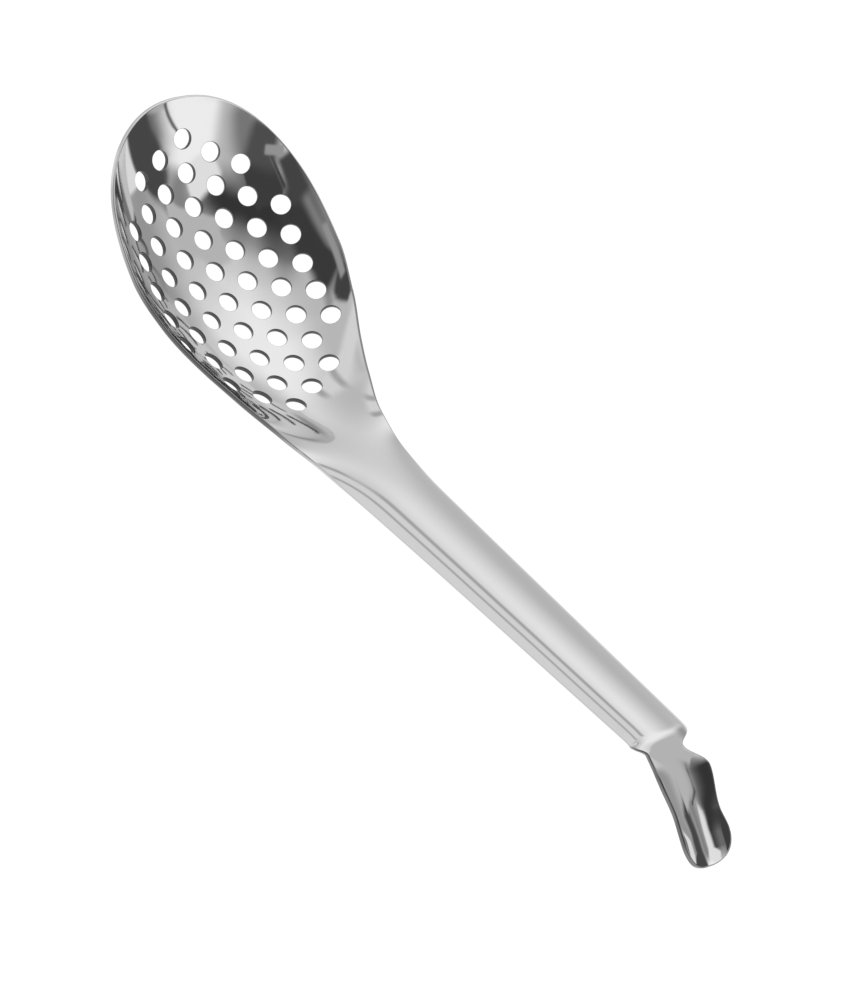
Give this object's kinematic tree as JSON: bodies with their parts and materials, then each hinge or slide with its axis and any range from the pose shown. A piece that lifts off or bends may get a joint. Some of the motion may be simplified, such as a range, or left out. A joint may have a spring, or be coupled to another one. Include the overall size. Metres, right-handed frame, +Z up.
{
  "type": "kitchen skimmer",
  "caption": "Spoon-shaped perforated skimmer pressed from one sheet of stainless steel, with an arched strip handle and a hook at its end",
  "frame": {"origin": "middle of the footprint, on the table that the skimmer lies on", "axes": "+X from the bowl to the hook, +Z up, the bowl's hollow facing up"},
  "size_m": [0.2264, 0.0598, 0.0427],
  "materials": {
    "bowl_steel": "mirror polished stainless steel",
    "handle_steel": "polished stainless steel",
    "hook_steel": "polished stainless steel"
  },
  "bodies": {
    "root": {"bowl": "bowl_steel", "handle": "handle_steel", "hook": "hook_steel"}
  },
  "joints": []
}
